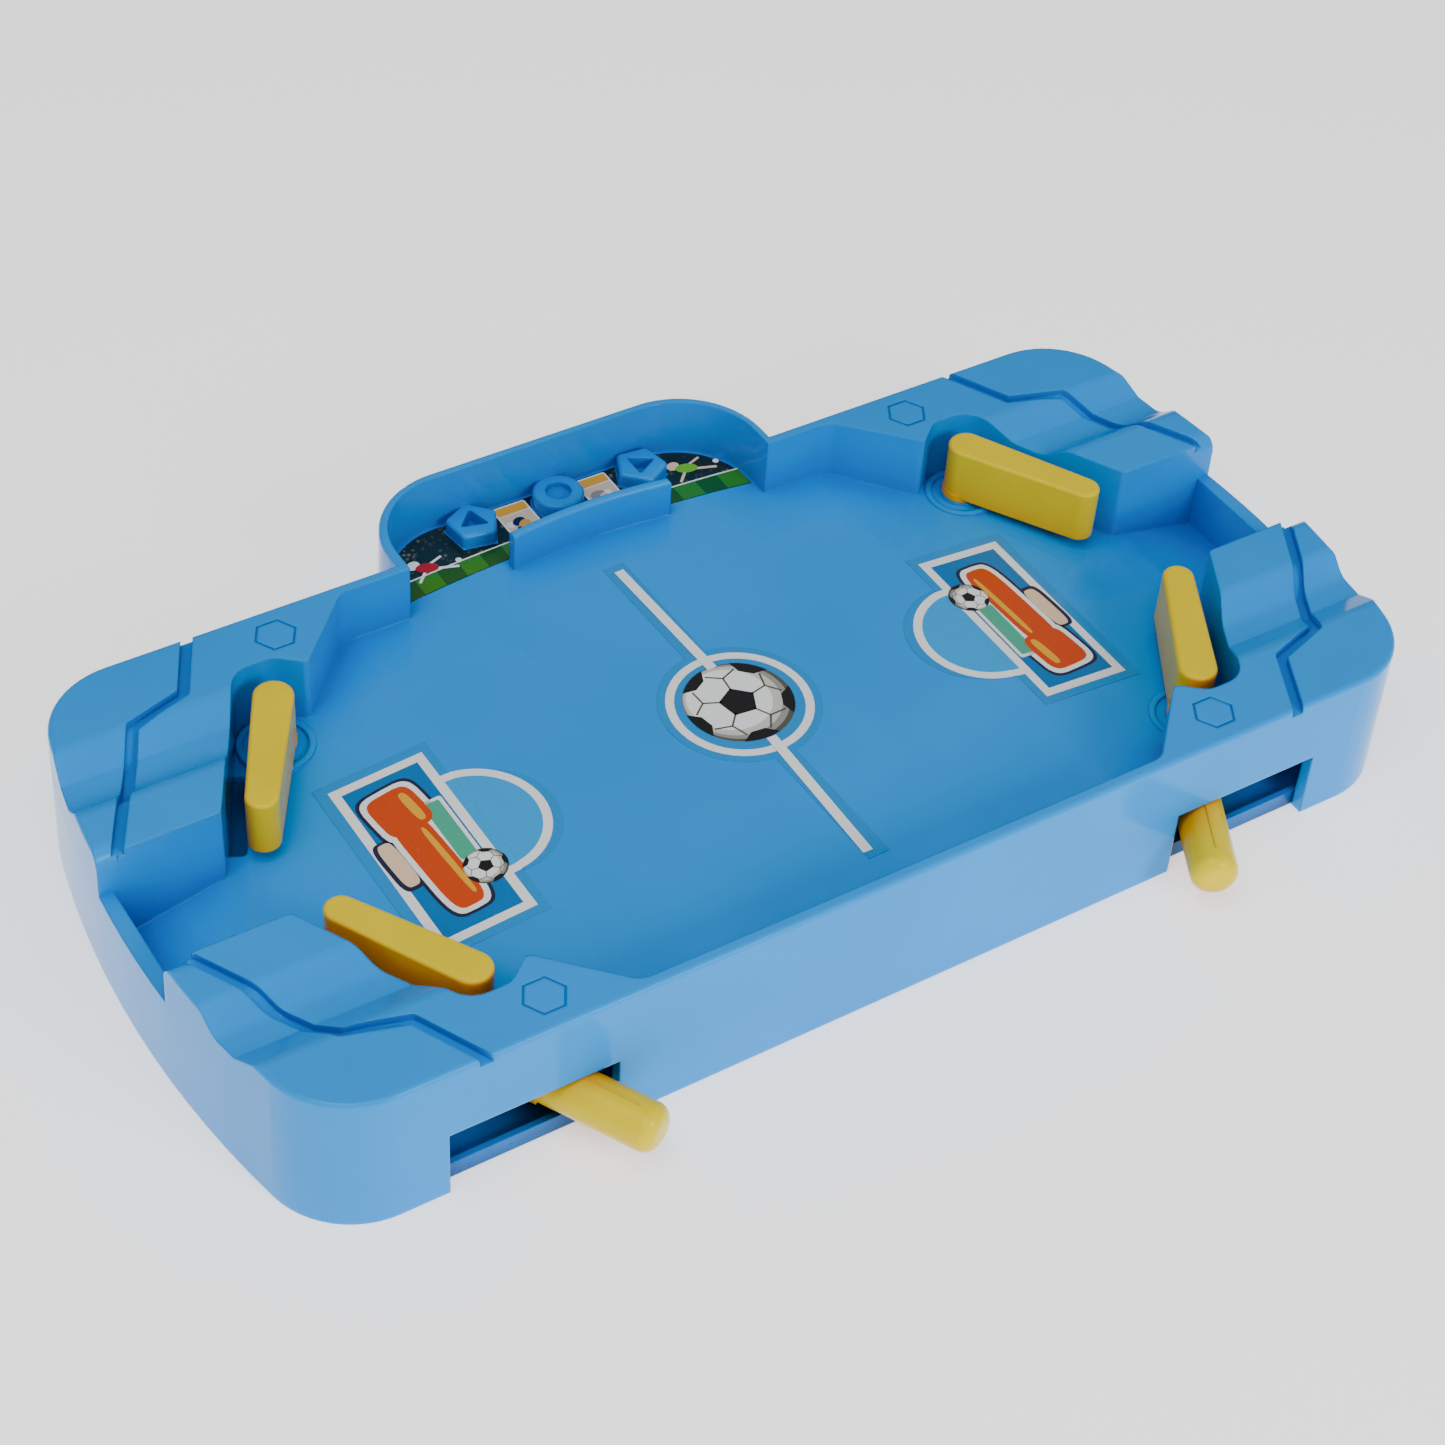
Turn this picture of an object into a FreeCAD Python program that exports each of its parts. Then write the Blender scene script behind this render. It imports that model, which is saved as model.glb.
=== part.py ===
import FreeCAD
import Part
import math
import os

# Tabletop football game: a blue moulded table with four spring-loaded flippers.
# Millimetres, +Z up. X runs goal to goal, +Y points to the score bay.
# The origin is the centre of the four-sided body, on the plane the table stands on.

V = FreeCAD.Vector

# Body
HALF_LENGTH = 167.5      # at the middle of the bowed ends
HALF_WIDTH = 78.0
CORNER_RADIUS = 22.8
END_BOW = 11.3           # how far an end bulges over the full width
RIM_Z = 41.1
SIDE_FLARE = 0.9         # the foot of the walls stands out by this much
RIM_ROUND = 1.2
WALL_INSET = 2.6         # rim outline to the inside of the lower wall

# Score bay
BAY_HALF_WIDTH = 57.5
BAY_END_Y = 107.0
BAY_RADIUS = 25.0
BAY_WALL = 2.4
RING_TOP_Z = 28.1        # three raised rings stand on the bay's floor
RING_ROUND = 1.1
PENTAGON_R = 7.8
PENTAGON_L_AT = (-24.0, 98.0)
PENTAGON_L_TURN = 80.0   # degrees from +X to the first corner
PENTAGON_R_AT = (28.5, 97.6)
PENTAGON_R_TURN = 48.0
HOLLOW_R = 4.6
HOLLOW_L_TURN = 75.0
HOLLOW_R_TURN = 0.0
ROUND_RING_AT = (2.5, 98.0)
ROUND_RING_R = 7.2
DISH_R = 3.6
DISH_DEPTH = 1.9
FENCE_FROM_X = -22.0
FENCE_TO_X = 27.0
FENCE_END_Y = 79.0
FENCE_MIDDLE_Y = 80.9
FENCE_THICKNESS = 2.6
FENCE_TOP_Z = 35.4

# Playfield: flat in the middle, falling towards both goals
FIELD_Z = 23.7
FLAT_HALF_LENGTH = 72.0
GOAL_MOUTH_X = 138.0
GOAL_MOUTH_Z = 17.9
GOAL_END_X = 163.5
GOAL_END_Z = 11.8
GOAL_HALF_WIDTH = 18.5
GOAL_WALL_Z = 28.0
FIELD_HALF_WIDTH = 75.0
FLOOR_THICKNESS = 2.2

# End blocks
HUMP_EDGE_Y = 34.0       # the top is flat from the goal to here, then falls in a soft S
HUMP_FOOT_Y = 39.8
VALLEY_Z = 36.2
CREASE_Y = 47.8          # a sharp fold, beyond which the top rises to the corner flat
CREASE_Z = 36.7
FLAT_EDGE_Y = 55.6
STRIP_CORNER_R = 4.6     # goal-side top corner of the strip outside the groove
GROOVE_WIDTH = 3.0
GROOVE_DEPTH = 2.2
GROOVE_PATH = [(115.2, 80.5), (125.6, 60.2), (141.2, 55.4), (163.2, 15.5)]
HEXAGON_AT = (96.6, 68.4)
HEXAGON_RADIUS = 5.8
HEXAGON_LINE = 0.6
HEXAGON_DEPTH = 0.4
BLOCK_CAVITY_Z = 27.4

# Flippers and levers, turning about vertical pivots
PIVOT_X = 105.7
PIVOT_Y = 51.2
FLIPPER_ANGLE = 30.3     # degrees between a flipper at rest and the Y axis
LEVER_ANGLE = 28.5       # the same for levers and for the pocket walls
FLIPPER_REACH = 35.2     # pivot to the centre of the tip
FLIPPER_HEEL_R = 5.2
FLIPPER_TIP_R = 4.2
FLIPPER_BOTTOM_Z = 23.4
FLIPPER_TOP_Z = 39.2
FLIPPER_ROUND = 1.0
STUB_R = 4.0
RUNNING_GAP = 0.05
STUB_TOP_Z = 28.0
SOCKET_TOP_Z = 28.4
BOSS_R = 10.0
BOSS_TOP_Z = 21.9
BOSS_RING_WIDTH = 1.7
BOSS_HUB_R = 5.6
BOSS_RECESS_Z = 21.2
BUSHING_R = 6.8
BUSHING_BOTTOM_Z = 16.1
HUB_R = 8.0
HUB_BOTTOM_Z = 6.4
HUB_TOP_Z = 15.2
WASHER_TOP_Z = 15.8
ARM_WIDTH = 9.0
KNOB_START = 16.5
KNOB_END = 51.5
KNOB_R = 6.2
KNOB_AXIS_Z = 13.0
KNOB_ROUND = 3.6
RIB_WIDTH = 0.5          # mould line along the top of the knob
RIB_HEIGHT = 0.25
SCREW_R = 1.4
SCREW_HEAD_R = 2.9
SCREW_HEAD_BOTTOM_Z = 7.4
SCREW_HEAD_TOP_Z = 9.4
SCREW_TIP_Z = 34.0
POCKET_R = 10.2          # pivot line to the pocket wall
GAP_FROM = 9.6           # assembly gap in the floor, measured from the pivot along the flipper
GAP_TO = 36.0
GAP_INNER = 5.5
SLOT_FROM_X = 81.9
SLOT_TO_X = 126.2
SLOT_TOP_Z = 19.9

# Base plate and its screws
PLATE_INSET = 2.9
PLATE_THICKNESS = 2.2
LIP_TOP_Z = 5.0
LIP_WIDTH = 1.6
THRUST_RING_R = 6.0
THRUST_RING_TOP_Z = 6.1
BASE_SCREWS_AT = [(148.0, 34.0), (60.0, 64.0), (60.0, 0.0)]
BAY_SCREWS_AT = [(44.0, 84.0)]
SCREW_POST_R = 4.0
BASE_SCREW_HEAD_R = 2.8
BASE_SCREW_TIP_Z = 13.0

# Return springs
WIRE_R = 0.4
SPRING_R = 7.2
SPRING_BOTTOM_Z = 2.95
SPRING_PITCH = 0.95
SPRING_TURNS = 3

STICKER_THICKNESS = 0.15
OVERRUN = 10.0           # how far cutting tools pass the faces they cut

CORNERS = {"nl": (-1, -1), "fl": (-1, 1), "nr": (1, -1), "fr": (1, 1)}


def unit(a, b):
    """Direction from point a to point b in the plane."""
    length = math.hypot(b[0] - a[0], b[1] - a[1])
    return ((b[0] - a[0]) / length, (b[1] - a[1]) / length)


def rounded_wire(corners, plane=lambda u, v: V(u, v, 0)):
    """Closed outline from (u, v, radius) corners; radius 0 keeps a corner sharp."""
    count = len(corners)
    spans = []
    for i, (u, v, radius) in enumerate(corners):
        back = unit((u, v), corners[i - 1][:2])
        ahead = unit((u, v), corners[(i + 1) % count][:2])
        if radius == 0:
            spans.append([(u, v)])
            continue
        half = math.acos(back[0] * ahead[0] + back[1] * ahead[1]) / 2
        reach = radius / math.tan(half)
        middle = unit((0, 0), (back[0] + ahead[0], back[1] + ahead[1]))
        centre_distance = radius / math.sin(half)
        top = centre_distance - radius
        spans.append([
            (u + back[0] * reach, v + back[1] * reach),
            (u + middle[0] * top, v + middle[1] * top),
            (u + ahead[0] * reach, v + ahead[1] * reach),
        ])
    edges = []
    for i, span in enumerate(spans):
        if len(span) == 3:
            edges.append(Part.Arc(*[plane(*point) for point in span]).toShape())
        start = span[-1]
        end = spans[(i + 1) % count][0]
        if math.hypot(end[0] - start[0], end[1] - start[1]) > 1e-6:
            edges.append(Part.LineSegment(plane(*start), plane(*end)).toShape())
    return Part.Wire(edges)


def prism(wire, bottom, top):
    """Upright solid over a plan outline drawn at z = 0."""
    solid = Part.Face(wire).extrude(V(0, 0, top - bottom))
    solid.translate(V(0, 0, bottom))
    return solid


def cylinder(x, y, radius, bottom, top):
    return Part.makeCylinder(radius, top - bottom, V(x, y, bottom))


def tube(x, y, outer, inner, bottom, top):
    return cylinder(x, y, outer, bottom, top).cut(cylinder(x, y, inner, bottom - 1, top + 1))


def mirrored(shape, corner):
    """Copy of a shape drawn in the +X +Y quarter, moved to another corner."""
    side_x, side_y = CORNERS[corner]
    result = shape
    if side_x < 0:
        result = result.mirror(V(0, 0, 0), V(1, 0, 0))
    if side_y < 0:
        result = result.mirror(V(0, 0, 0), V(0, 1, 0))
    return result


def to_pivot(shape, angle):
    """Turn a shape drawn along the Y axis by an angle and move it onto the pivot."""
    shape.rotate(V(0, 0, 0), V(0, 0, 1), angle)
    shape.translate(V(PIVOT_X, PIVOT_Y, 0))
    return shape


def all_corners(shape):
    return [mirrored(shape, corner) for corner in CORNERS]


def body_wire(grow):
    """Plan of the body: straight long sides, bowed ends, round corners."""
    end_radius = (HALF_WIDTH ** 2 + END_BOW ** 2) / (2 * END_BOW)
    end_centre = HALF_LENGTH - end_radius
    corner_y = HALF_WIDTH - CORNER_RADIUS
    corner_x = end_centre + math.sqrt((end_radius - CORNER_RADIUS) ** 2 - corner_y ** 2)
    slope = math.atan2(corner_y, corner_x - end_centre)
    radius = CORNER_RADIUS + grow
    joint = (corner_x + radius * math.cos(slope), corner_y + radius * math.sin(slope))
    middle_angle = (slope + math.pi / 2) / 2
    middle = (corner_x + radius * math.cos(middle_angle), corner_y + radius * math.sin(middle_angle))
    top = (corner_x, HALF_WIDTH + grow)
    nose = (HALF_LENGTH + grow, 0)

    def at(point, sx, sy):
        return V(point[0] * sx, point[1] * sy, 0)

    edges = []
    for sx in (1, -1):
        sy = sx
        edges.append(Part.Arc(at(joint, sx, -sy), at(nose, sx, 1), at(joint, sx, sy)).toShape())
        edges.append(Part.Arc(at(joint, sx, sy), at(middle, sx, sy), at(top, sx, sy)).toShape())
        edges.append(Part.LineSegment(at(top, sx, sy), at(top, -sx, sy)).toShape())
        edges.append(Part.Arc(at(top, -sx, sy), at(middle, -sx, sy), at(joint, -sx, sy)).toShape())
    return Part.Wire(edges)


def bay_wire(grow, from_y):
    half = BAY_HALF_WIDTH + grow
    end = BAY_END_Y + grow
    radius = BAY_RADIUS + grow
    return rounded_wire([(-half, from_y, 0), (half, from_y, 0), (half, end, radius), (-half, end, radius)])


def flared(wire_at_foot, wire_at_rim):
    """Solid between two outlines, with the rim's outer edge rounded."""
    rim = wire_at_rim.copy()
    rim.translate(V(0, 0, RIM_Z))
    solid = Part.makeLoft([wire_at_foot, rim], True, True)
    rim_edges = [edge for edge in solid.Edges if edge.BoundBox.ZMin > RIM_Z - 0.01]
    return solid.makeFillet(RIM_ROUND, rim_edges)


def field_profile(drop, past=0.0):
    """Side view of the space above the playfield, extruded across the table.

    drop lowers it by a floor's thickness; past carries the goal slopes on beyond the goals' ends.
    """
    goal_slope = (GOAL_MOUTH_Z - GOAL_END_Z) / (GOAL_END_X - GOAL_MOUTH_X)
    end_x = GOAL_END_X + past
    end_z = GOAL_END_Z - past * goal_slope
    points = [
        (-end_x, end_z), (-GOAL_MOUTH_X, GOAL_MOUTH_Z), (-FLAT_HALF_LENGTH, FIELD_Z),
        (FLAT_HALF_LENGTH, FIELD_Z), (GOAL_MOUTH_X, GOAL_MOUTH_Z), (end_x, end_z),
    ]
    line = [V(x, -120, z - drop) for x, z in points]
    line.append(V(end_x, -120, RIM_Z + OVERRUN))
    line.append(V(-end_x, -120, RIM_Z + OVERRUN))
    line.append(line[0])
    return Part.Face(Part.makePolygon(line)).extrude(V(0, 240, 0))


def field_quarter():
    """Plan of the playfield in the +X +Y quarter, with the flipper's pocket and half a goal."""
    along = math.radians(LEVER_ANGLE)
    normal = (math.cos(along), math.sin(along))
    side = (PIVOT_X + normal[0] * POCKET_R, PIVOT_Y + normal[1] * POCKET_R)
    back_y = PIVOT_Y + POCKET_R
    foot_x = side[0] + (side[1] - GOAL_HALF_WIDTH) * math.tan(along)
    heel_x = side[0] - (back_y - side[1]) * math.tan(along)
    corners = [
        (-1, -1, 0), (GOAL_END_X, -1, 0), (GOAL_END_X, GOAL_HALF_WIDTH, 0),
        (foot_x, GOAL_HALF_WIDTH, 1.5), (heel_x, back_y, 8.0), (101.0, back_y, 6.0),
        (94.0, 55.5, 1.5), (75.0, 75.0, 6.0), (-1, FIELD_HALF_WIDTH, 0),
    ]
    return rounded_wire(corners)


def field_space():
    """Everything that is open above the playfield inside the body."""
    plan = prism(field_quarter(), 0, RIM_Z + OVERRUN)
    space = all_corners(plan)[0].fuse(all_corners(plan)[1:]).removeSplitter()
    space = space.common(field_profile(0))
    bay = prism(bay_wire(-BAY_WALL, HALF_WIDTH - 6), FIELD_Z, RIM_Z + OVERRUN)
    return space.fuse(bay)


def block_top_profile(lower):
    """Space above the humps, valleys and corner flats of the end blocks, on the +Y side."""
    top = RIM_Z + 0.02 - lower
    corners = [
        (GOAL_HALF_WIDTH - 4, top, 0), (HUMP_EDGE_Y, top, 6.0), (HUMP_FOOT_Y, VALLEY_Z - lower, 6.0),
        (CREASE_Y, CREASE_Z - lower, 0.6), (FLAT_EDGE_Y, top, 6.0), (HALF_WIDTH + 4, top, 0),
        (HALF_WIDTH + 4, RIM_Z + OVERRUN, 0), (GOAL_HALF_WIDTH - 4, RIM_Z + OVERRUN, 0),
    ]
    wire = rounded_wire(corners, lambda u, v: V(90, u, v))
    return Part.Face(wire).extrude(V(90, 0, 0))


def groove():
    """Decorative channel that runs over an end block and follows its hump and valley."""
    pieces = []
    for start, end in zip(GROOVE_PATH, GROOVE_PATH[1:]):
        direction = unit(start, end)
        length = math.hypot(end[0] - start[0], end[1] - start[1])
        bar = Part.makeBox(length, GROOVE_WIDTH, RIM_Z, V(0, -GROOVE_WIDTH / 2, 0))
        bar.rotate(V(0, 0, 0), V(0, 0, 1), math.degrees(math.atan2(direction[1], direction[0])))
        bar.translate(V(start[0], start[1], OVERRUN))
        pieces.append(bar)
    for x, y in GROOVE_PATH[1:-1]:
        pieces.append(cylinder(x, y, GROOVE_WIDTH / 2, OVERRUN, RIM_Z + OVERRUN))
    plan = pieces[0].fuse(pieces[1:])
    return plan.common(block_top_profile(GROOVE_DEPTH))


def strip_corner():
    """Cuts the goal-side top corner of the strip outside the groove to a soft round."""
    start, end = GROOVE_PATH[-2:]
    inner_y = GOAL_HALF_WIDTH - 1
    outer_y = GOAL_HALF_WIDTH + STRIP_CORNER_R
    slope = (start[0] - end[0]) / (start[1] - end[1])

    def groove_x(y):
        return end[0] + (y - end[1]) * slope

    plan = rounded_wire([(groove_x(inner_y), inner_y, 0), (190, inner_y, 0),
                         (190, outer_y, 0), (groove_x(outer_y), outer_y, 0)])
    corner = prism(plan, RIM_Z - STRIP_CORNER_R, RIM_Z + 1)
    axis_start = V(140, outer_y, RIM_Z - STRIP_CORNER_R)
    return corner.cut(Part.makeCylinder(STRIP_CORNER_R, 60, axis_start, V(1, 0, 0)))


def regular_wire(at, radius, sides, turn=0.0, corner=0.0):
    """Regular outline with its first corner turned away from +X by turn degrees."""
    points = []
    for i in range(sides):
        angle = math.radians(turn + 360.0 * i / sides)
        points.append((at[0] + radius * math.cos(angle), at[1] + radius * math.sin(angle), corner))
    return rounded_wire(points)


def hexagon_line():
    outer = prism(regular_wire(HEXAGON_AT, HEXAGON_RADIUS, 6), RIM_Z - HEXAGON_DEPTH, RIM_Z + 1)
    inner = prism(regular_wire(HEXAGON_AT, HEXAGON_RADIUS - HEXAGON_LINE, 6), 0, RIM_Z + 2)
    return outer.cut(inner)


def block_cavity():
    """Hollow under an end block, open to the space below the playfield."""
    corners = [
        (81.5, 90.0, 0), (81.5, 73.0, 0), (91.0, 64.6, 0), (109.0, 64.6, 4.0),
        (119.0, 57.5, 4.0), (137.0, 21.2, 0), (190.0, 21.2, 0), (190.0, 90.0, 0),
    ]
    plan = prism(rounded_wire(corners), 5.0, BLOCK_CAVITY_Z)
    return plan.common(prism(body_wire(-WALL_INSET), 0, RIM_Z))


def floor_gap():
    """Assembly gap in the floor between a flipper at rest and its pocket wall."""
    outline = rounded_wire([(GAP_INNER, -GAP_TO, 1.2), (POCKET_R, -GAP_TO, 0),
                            (POCKET_R, -GAP_FROM, 0), (GAP_INNER, -GAP_FROM, 1.2)])
    return to_pivot(prism(outline, 10.0, FIELD_Z), LEVER_ANGLE)


def base_screw_places():
    places = []
    for x, y in BASE_SCREWS_AT:
        for sx in (1, -1):
            for sy in ((1, -1) if y else (1,)):
                places.append((x * sx, y * sy))
    for x, y in BAY_SCREWS_AT:
        places.extend([(x, y), (-x, y)])
    return places


def floor_underside(x):
    """Height of the playfield's lower face at a distance x from the middle."""
    if abs(x) <= FLAT_HALF_LENGTH:
        return FIELD_Z - FLOOR_THICKNESS
    if abs(x) <= GOAL_MOUTH_X:
        share = (abs(x) - FLAT_HALF_LENGTH) / (GOAL_MOUTH_X - FLAT_HALF_LENGTH)
        return FIELD_Z - FLOOR_THICKNESS - share * (FIELD_Z - GOAL_MOUTH_Z)
    return BLOCK_CAVITY_Z


def pentagon_ring(at, turn, hollow_turn):
    """Raised five-sided ring with a three-sided hollow."""
    ring = prism(regular_wire(at, PENTAGON_R, 5, turn, 1.6), FIELD_Z - 0.5, RING_TOP_Z)
    top_edges = [edge for edge in ring.Edges if edge.BoundBox.ZMin > RING_TOP_Z - 0.1]
    ring = ring.makeFillet(RING_ROUND, top_edges)
    return ring.cut(prism(regular_wire(at, HOLLOW_R, 3, hollow_turn, 0.5), FIELD_Z + 0.4, RING_TOP_Z + 1))


def round_ring():
    x, y = ROUND_RING_AT
    ring = cylinder(x, y, ROUND_RING_R, FIELD_Z - 0.5, RING_TOP_Z)
    top_edges = [edge for edge in ring.Edges if edge.BoundBox.ZMin > RING_TOP_Z - 0.1]
    ring = ring.makeFillet(RING_ROUND, top_edges)
    return ring.cut(cylinder(x, y, DISH_R, RING_TOP_Z - DISH_DEPTH, RING_TOP_Z + 1))


def bay_fence():
    """Low wall between playfield and bay, bowed towards the bay."""
    middle_x = (FENCE_FROM_X + FENCE_TO_X) / 2
    back = FENCE_THICKNESS
    near = Part.Arc(V(FENCE_FROM_X, FENCE_END_Y, 0), V(middle_x, FENCE_MIDDLE_Y, 0),
                    V(FENCE_TO_X, FENCE_END_Y, 0))
    far = Part.Arc(V(FENCE_TO_X, FENCE_END_Y + back, 0), V(middle_x, FENCE_MIDDLE_Y + back, 0),
                   V(FENCE_FROM_X, FENCE_END_Y + back, 0))
    right = Part.LineSegment(V(FENCE_TO_X, FENCE_END_Y, 0), V(FENCE_TO_X, FENCE_END_Y + back, 0))
    left = Part.LineSegment(V(FENCE_FROM_X, FENCE_END_Y + back, 0), V(FENCE_FROM_X, FENCE_END_Y, 0))
    outline = Part.Wire([near.toShape(), right.toShape(), far.toShape(), left.toShape()])
    wall = prism(outline, FIELD_Z - 0.5, FENCE_TOP_Z)
    top_edges = [edge for edge in wall.Edges if edge.BoundBox.ZMin > FENCE_TOP_Z - 0.1]
    return wall.makeFillet(0.8, top_edges)


def top_shell():
    body = flared(body_wire(SIDE_FLARE), body_wire(0))
    bay = flared(bay_wire(SIDE_FLARE, 40.0), bay_wire(0, 40.0))
    shell = body.fuse(bay)

    shell = shell.cut(field_space())
    goal_gap = Part.makeBox(20.0, 2 * GOAL_HALF_WIDTH, 30.0, V(GOAL_END_X - 2, -GOAL_HALF_WIDTH, GOAL_WALL_Z))
    shell = shell.cut([goal_gap, goal_gap.mirror(V(0, 0, 0), V(1, 0, 0))])
    for tool in (block_top_profile(0), groove(), strip_corner(), hexagon_line()):
        shell = shell.cut(all_corners(tool))

    hollow_plan = prism(body_wire(-WALL_INSET), -1, FIELD_Z - FLOOR_THICKNESS)
    hollow_plan = hollow_plan.fuse(prism(bay_wire(-WALL_INSET, 40.0), -1, FIELD_Z - FLOOR_THICKNESS))
    shell = shell.cut(hollow_plan.cut(field_profile(FLOOR_THICKNESS, 6.0)))
    shell = shell.cut(all_corners(block_cavity()))

    slot = Part.makeBox(SLOT_TO_X - SLOT_FROM_X, 14.0, SLOT_TOP_Z + 1, V(SLOT_FROM_X, HALF_WIDTH - 7, -1))
    shell = shell.cut(all_corners(slot))

    boss = cylinder(PIVOT_X, PIVOT_Y, BOSS_R, 17.5, BOSS_TOP_Z)
    bushing = cylinder(PIVOT_X, PIVOT_Y, BUSHING_R, BUSHING_BOTTOM_Z, BOSS_TOP_Z)
    shell = shell.fuse(all_corners(boss.fuse(bushing)))
    recess = tube(PIVOT_X, PIVOT_Y, BOSS_R - BOSS_RING_WIDTH, BOSS_HUB_R, BOSS_RECESS_Z, BOSS_TOP_Z + 1)
    bore = cylinder(PIVOT_X, PIVOT_Y, STUB_R + RUNNING_GAP, 10.0, BOSS_TOP_Z + 1)
    shell = shell.cut(all_corners(recess) + all_corners(bore) + all_corners(floor_gap()))

    posts = []
    pilots = []
    for x, y in base_screw_places():
        post_top = floor_underside(x) + 0.8
        posts.append(cylinder(x, y, SCREW_POST_R, PLATE_THICKNESS + 0.05, post_top))
        pilots.append(cylinder(x, y, SCREW_R - 0.15, 1.0, BASE_SCREW_TIP_Z + 1.5))
    rings = [
        pentagon_ring(PENTAGON_L_AT, PENTAGON_L_TURN, HOLLOW_L_TURN),
        pentagon_ring(PENTAGON_R_AT, PENTAGON_R_TURN, HOLLOW_R_TURN),
        round_ring(),
    ]
    shell = shell.fuse(posts + rings + [bay_fence()])
    return shell.cut(pilots).removeSplitter()


def base_plate():
    outline = prism(body_wire(-PLATE_INSET), 0, LIP_TOP_Z)
    outline = outline.fuse(prism(bay_wire(-PLATE_INSET, 40.0), 0, LIP_TOP_Z))
    inner = prism(body_wire(-PLATE_INSET - LIP_WIDTH), PLATE_THICKNESS, LIP_TOP_Z + 1)
    inner = inner.fuse(prism(bay_wire(-PLATE_INSET - LIP_WIDTH, 40.0), PLATE_THICKNESS, LIP_TOP_Z + 1))
    plate = outline.cut(inner)
    ring = cylinder(PIVOT_X, PIVOT_Y, THRUST_RING_R, 1.0, THRUST_RING_TOP_Z)
    plate = plate.fuse(all_corners(ring))
    access = cylinder(PIVOT_X, PIVOT_Y, SCREW_HEAD_R + 0.6, -1, THRUST_RING_TOP_Z + 1)
    holes = all_corners(access)
    for x, y in base_screw_places():
        holes.append(cylinder(x, y, SCREW_R + 0.2, -1, LIP_TOP_Z))
        holes.append(cylinder(x, y, BASE_SCREW_HEAD_R + 0.2, -1, 1.0))
    return plate.cut(holes).removeSplitter()


def flipper():
    """Blade with a round heel and a slimmer tip, drawn at rest in the +X +Y quarter."""
    heel, tip, reach = FLIPPER_HEEL_R, FLIPPER_TIP_R, FLIPPER_REACH
    lean = math.asin((heel - tip) / reach)
    out_x, out_y = math.cos(lean), math.sin(lean)
    corners = [V(heel * out_x, heel * -out_y, 0), V(tip * out_x, -reach - tip * out_y, 0)]
    left = [V(-corner.x, corner.y, 0) for corner in corners]
    wire = Part.Wire([
        Part.LineSegment(corners[0], corners[1]).toShape(),
        Part.Arc(corners[1], V(0, -reach - tip, 0), left[1]).toShape(),
        Part.LineSegment(left[1], left[0]).toShape(),
        Part.Arc(left[0], V(0, heel, 0), corners[0]).toShape(),
    ])
    blade = prism(wire, FLIPPER_BOTTOM_Z, FLIPPER_TOP_Z)
    top_edges = [edge for edge in blade.Edges if edge.BoundBox.ZMin > FLIPPER_TOP_Z - 0.1]
    blade = blade.makeFillet(FLIPPER_ROUND, top_edges)
    collar = cylinder(0, 0, BOSS_HUB_R - 0.2, BOSS_TOP_Z + 0.3, FLIPPER_BOTTOM_Z + 1)
    blade = blade.fuse(collar).removeSplitter()
    socket = cylinder(0, 0, STUB_R + RUNNING_GAP, 0, SOCKET_TOP_Z)
    pilot = cylinder(0, 0, SCREW_R - 0.15, 0, SCREW_TIP_Z + 0.5)
    return to_pivot(blade.cut([socket, pilot]), FLIPPER_ANGLE)


def lever():
    """Hub, arm and round finger knob under the floor, opposite the flipper."""
    hub = cylinder(0, 0, HUB_R, HUB_BOTTOM_Z, HUB_TOP_Z)
    arm = Part.makeBox(ARM_WIDTH, KNOB_START + 4, HUB_TOP_Z - 7.4, V(-ARM_WIDTH / 2, 0, 7.4))
    knob = Part.makeCylinder(KNOB_R, KNOB_END - KNOB_START, V(0, KNOB_START, KNOB_AXIS_Z), V(0, 1, 0))
    end_edges = [edge for edge in knob.Edges if edge.BoundBox.YMin > KNOB_END - 0.1]
    knob = knob.makeFillet(KNOB_ROUND, end_edges)
    rib_base = V(-RIB_WIDTH / 2, KNOB_START + 6, KNOB_AXIS_Z + KNOB_R - 0.5)
    rib = Part.makeBox(RIB_WIDTH, KNOB_END - KNOB_START - 12, 0.5 + RIB_HEIGHT, rib_base)
    stub = cylinder(0, 0, STUB_R, HUB_TOP_Z - 1, STUB_TOP_Z)
    piece = hub.fuse([arm, knob, stub])
    bore = cylinder(0, 0, SCREW_R + 0.2, 0, STUB_TOP_Z + 1)
    seat = cylinder(0, 0, SCREW_HEAD_R + 0.2, 0, SCREW_HEAD_TOP_Z)
    return to_pivot(piece.cut([bore, seat]).fuse(rib).removeSplitter(), LEVER_ANGLE)


def washer():
    return to_pivot(tube(0, 0, 6.4, STUB_R + RUNNING_GAP, HUB_TOP_Z, WASHER_TOP_Z), LEVER_ANGLE)


def cross_recess(x, y, bottom):
    bar = Part.makeBox(3.2, 0.7, 1.0, V(x - 1.6, y - 0.35, bottom - 0.01))
    other = Part.makeBox(0.7, 3.2, 1.0, V(x - 0.35, y - 1.6, bottom - 0.01))
    return bar.fuse(other)


def pivot_screw():
    head = cylinder(0, 0, SCREW_HEAD_R, SCREW_HEAD_BOTTOM_Z, SCREW_HEAD_TOP_Z)
    head = head.cut(cross_recess(0, 0, SCREW_HEAD_BOTTOM_Z))
    shank = cylinder(0, 0, SCREW_R, SCREW_HEAD_TOP_Z - 0.5, SCREW_TIP_Z)
    return to_pivot(head.fuse(shank).removeSplitter(), LEVER_ANGLE)


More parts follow.
